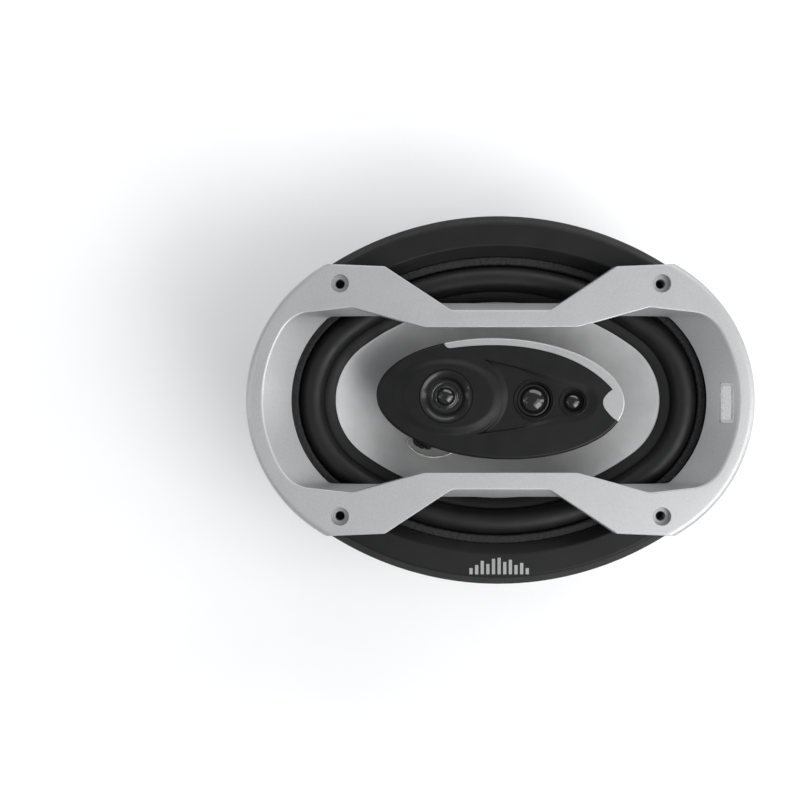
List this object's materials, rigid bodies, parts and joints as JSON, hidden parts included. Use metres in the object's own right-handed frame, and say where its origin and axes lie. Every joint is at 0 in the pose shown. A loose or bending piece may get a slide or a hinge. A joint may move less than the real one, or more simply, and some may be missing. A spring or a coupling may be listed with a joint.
{
  "type": "coaxial car speaker",
  "caption": "Oval coaxial car speaker: pressed basket, magnet motor, sprung cone, and a pod of small drivers under a silver two-bar bezel.",
  "frame": {"origin": "on the speaker's axis, in the plane of the mounting flange's rear face", "axes": "+Z from the magnet to the listener, +X along the oval's long axis, +Y along its short axis"},
  "size_m": [0.2446, 0.178, 0.0932],
  "materials": {
    "basket_paint": "black powder paint on pressed steel",
    "black_abs": "satin moulded plastic",
    "grey_ink": "pad-printed light grey",
    "silver_paint": "satin metallic silver paint on moulded plastic",
    "badge_foil": "fine speckled foil",
    "gasket_foam": "coarse textured foam rubber",
    "butyl_rubber": "smooth satin rubber",
    "cone_pulp": "silver-grey coated paper pulp",
    "black_glue": "rough dried adhesive",
    "tinned_braid": "tinned copper braid",
    "spider_cloth": "resin-stiffened woven cloth",
    "kapton": "amber film",
    "copper_wire": "enamelled copper winding",
    "zinc_steel": "yellow zinc plating",
    "ferrite": "ground sintered ferrite",
    "fastener_steel": "bright zinc plating",
    "brass_plate": "bare brass",
    "pod_abs": "fine-grained matt plastic",
    "bright_silver": "bright silver paint",
    "gloss_black": "polished moulded plastic",
    "dome_film": "thin formed film",
    "neodymium": "nickel plating",
    "fibre_board": "phenolic paper board",
    "capacitor_sleeve": "shrink sleeve"
  },
  "bodies": {
    "chassis": {"basket": "basket_paint", "trim_ring": "black_abs", "ring_mark": "grey_ink", "bezel": "silver_paint", "badge_blank": "badge_foil", "gasket": "gasket_foam", "surround": "butyl_rubber", "spider": "spider_cloth", "top_plate": "zinc_steel", "magnet": "ferrite", "yoke": "zinc_steel", "basket_rivets": "fastener_steel", "post": "fastener_steel", "post_washer": "fastener_steel", "post_nut": "brass_plate", "pod_housing": "pod_abs", "pod_back": "pod_abs", "pod_trim": "bright_silver", "tweeter_horn": "gloss_black", "tweeter_edge": "dome_film", "tweeter_pole_plate": "fastener_steel", "tweeter_magnet": "neodymium", "tweeter_cup": "fastener_steel", "mid_ring": "pod_abs", "mid_dome": "dome_film", "mid_piezo_disc": "brass_plate", "super_ring": "pod_abs", "super_dome": "dome_film", "super_piezo_disc": "brass_plate", "terminal_board": "fibre_board", "terminal_tab_wide": "brass_plate", "terminal_tab_narrow": "brass_plate", "terminal_rivets": "fastener_steel", "crossover_capacitor": "capacitor_sleeve", "tinsel_lead_plus": "tinned_braid", "tinsel_lead_minus": "tinned_braid"},
    "cone_assembly": {"cone": "cone_pulp", "cone_glue_patch": "black_glue", "coil_lead": "tinned_braid", "coil_former": "kapton", "voice_coil": "copper_wire"},
    "tweeter_diaphragm": {"tweeter_dome": "dome_film", "tweeter_coil": "copper_wire"}
  },
  "joints": [
    {"name": "cone_travel", "type": "slide", "parent": "chassis", "child": "cone_assembly", "axis": [0, 0, 1], "range_m": [-0.0045, 0.0045], "stiffness_N_per_m": 3000, "deforming": ["surround", "spider", "tinsel_lead_plus", "tinsel_lead_minus"]},
    {"name": "tweeter_travel", "type": "slide", "parent": "chassis", "child": "tweeter_diaphragm", "axis": [0, 0, 1], "range_m": [-0.0003, 0.0003], "stiffness_N_per_m": 300, "deforming": ["tweeter_edge"]}
  ]
}
